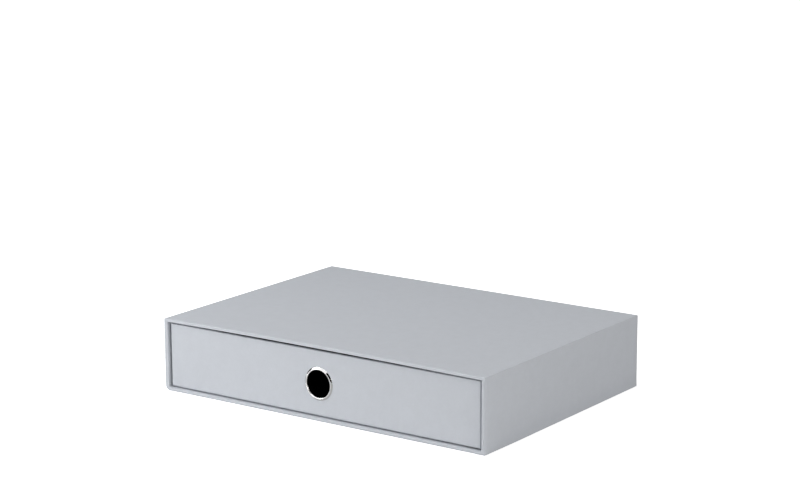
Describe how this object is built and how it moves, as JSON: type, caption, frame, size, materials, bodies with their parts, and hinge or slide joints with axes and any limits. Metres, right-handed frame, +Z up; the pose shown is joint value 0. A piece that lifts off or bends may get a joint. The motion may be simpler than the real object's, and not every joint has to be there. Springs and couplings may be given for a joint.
{
  "type": "desktop file drawer",
  "caption": "Flat paper-covered board box for A4 sheets: an open-fronted casing with an inset sliding drawer pulled by a round metal eyelet.",
  "frame": {"origin": "bottom centre of the casing, on the surface that it stands on", "axes": "+Z up, +X to the right along the face, -Y out of the front, the way the drawer opens"},
  "size_m": [0.335, 0.245, 0.065],
  "materials": {
    "grey_paper": "matte",
    "dark_lining": "matte",
    "greyboard": "matte",
    "polished_metal": "polished"
  },
  "bodies": {
    "casing": {"casing_floor_board": "greyboard", "casing_left_board": "greyboard", "casing_right_board": "greyboard", "casing_top_board": "greyboard", "casing_back_board": "greyboard", "casing_cover_paper": "grey_paper", "casing_back_paper": "grey_paper", "casing_underside_paper": "grey_paper", "casing_lining_paper": "dark_lining", "casing_back_lining": "dark_lining"},
    "drawer": {"drawer_floor_board": "greyboard", "drawer_front_board": "greyboard", "drawer_back_board": "greyboard", "drawer_left_board": "greyboard", "drawer_right_board": "greyboard", "drawer_cover_paper": "grey_paper", "drawer_underside_paper": "grey_paper", "drawer_wall_lining": "dark_lining", "drawer_floor_lining": "dark_lining", "eyelet": "polished_metal", "eyelet_washer": "polished_metal"}
  },
  "joints": [
    {"name": "drawer_slide", "type": "slide", "parent": "casing", "child": "drawer", "axis": [0, -1, 0], "range_m": [0, 0.21]}
  ]
}
